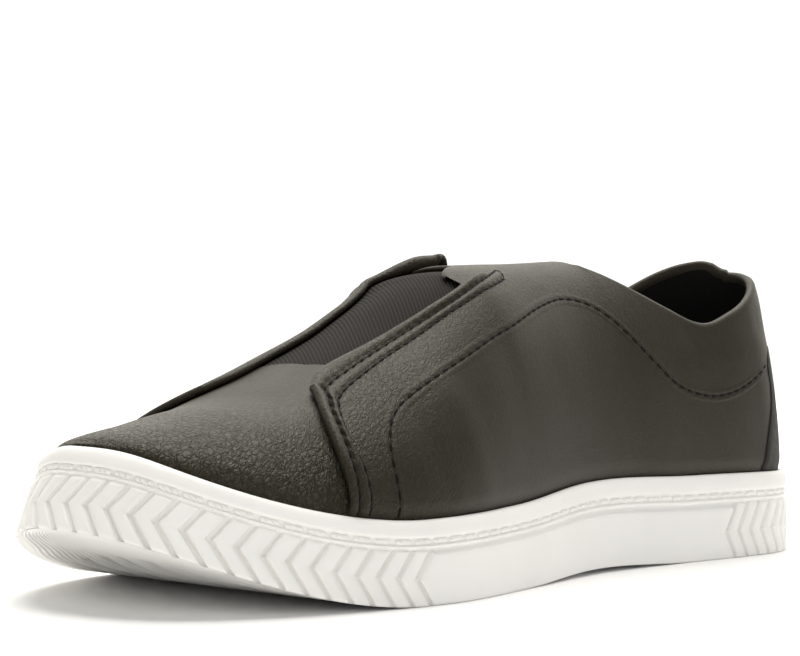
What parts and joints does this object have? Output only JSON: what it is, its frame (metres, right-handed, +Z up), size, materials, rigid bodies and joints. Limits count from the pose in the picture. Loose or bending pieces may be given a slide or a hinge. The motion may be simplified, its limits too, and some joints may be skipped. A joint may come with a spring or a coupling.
{
  "type": "slip-on sneaker",
  "caption": "Low slip-on sneaker for the right foot: leather upper with an elastic gore over the instep, on a rubber cupsole with chevron blocks on its wall.",
  "frame": {"origin": "middle of the box of the shoe, on the floor that it stands on", "axes": "+X to the toe, +Y to the inner side of the foot, +Z up"},
  "size_m": [0.2616, 0.0912, 0.079],
  "materials": {
    "sole_rubber": "matte white rubber",
    "upper_leather": "soft tumbled dark grey leather",
    "gore_elastic": "ribbed dark brown elastic",
    "patch_leather": "soft mottled grey leather",
    "insole_fabric": "black textile"
  },
  "bodies": {
    "root": {"sole": "sole_rubber", "upper": "upper_leather", "elastic_gore": "gore_elastic", "heel_patch": "patch_leather", "insole": "insole_fabric"}
  },
  "joints": []
}
